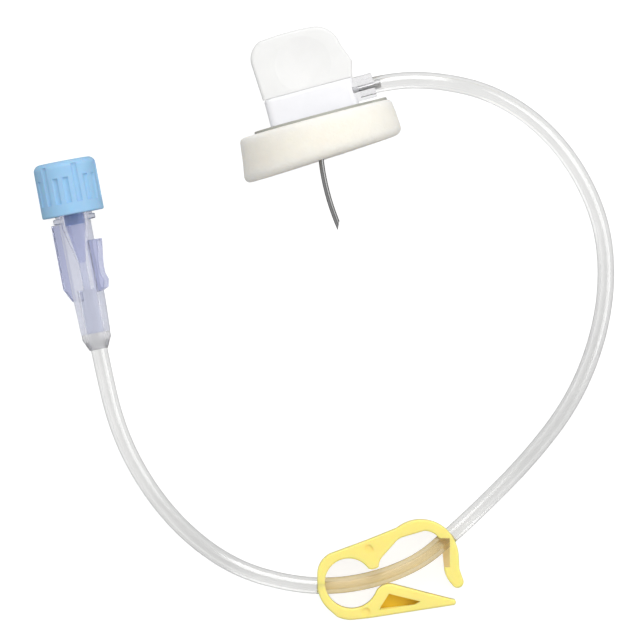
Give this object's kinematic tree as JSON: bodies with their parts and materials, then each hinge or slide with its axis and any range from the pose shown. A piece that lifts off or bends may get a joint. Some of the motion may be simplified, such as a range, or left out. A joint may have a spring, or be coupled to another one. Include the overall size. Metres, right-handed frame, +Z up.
{
  "type": "non-coring port needle set",
  "caption": "Bent non-coring needle in a clear hub with a foam skin pad and a pull-off grip, on a clear line with a pinch clamp and a capped lock connector.",
  "frame": {"origin": "on the surface that the set lies on, under the middle of the box round its hub, pad, needle and grip", "axes": "+Z up from the surface, +Y away from the skin, from the needle's point towards the grip, and +X the way the hub's outlet points"},
  "size_m": [0.0926, 0.1009, 0.0272],
  "materials": {
    "foam": "fine closed-cell foam, cream",
    "hub_plastic": "clear, faintly lavender",
    "steel": "drawn stainless steel",
    "grip_plastic": "white, translucent, matte",
    "line_tube": "clear, flexible",
    "sleeve_plastic": "clear",
    "clamp_plastic": "yellow",
    "connector_plastic": "clear lavender",
    "cap_plastic": "blue"
  },
  "bodies": {
    "set": {"foam_pad": "foam", "hub": "hub_plastic", "cannula": "steel", "line_hub_side": "line_tube", "line_in_jaws": "line_tube", "line_connector_side": "line_tube", "line_sleeve": "sleeve_plastic", "clamp_upper": "clamp_plastic", "connector": "connector_plastic"},
    "grip": {"grip": "grip_plastic"},
    "clamp_tongue": {"clamp_lower": "clamp_plastic"},
    "cap": {"cap": "cap_plastic"}
  },
  "joints": [
    {"name": "grip_pull", "type": "slide", "parent": "set", "child": "grip", "axis": [0, 1, 0], "range_m": [0, 0.02]},
    {"name": "clamp_pinch", "type": "hinge", "parent": "set", "child": "clamp_tongue", "pos_m": [-0.01878, -0.07473, 0.0033], "axis": [0, 0, 1], "range_deg": [0, 4.7], "stiffness_Nm_per_rad": 0.002, "deforming": ["line_in_jaws"]},
    {"name": "cap_pull", "type": "slide", "parent": "set", "child": "cap", "axis": [0.075, 0.9972, 0], "range_m": [0, 0.015]}
  ]
}
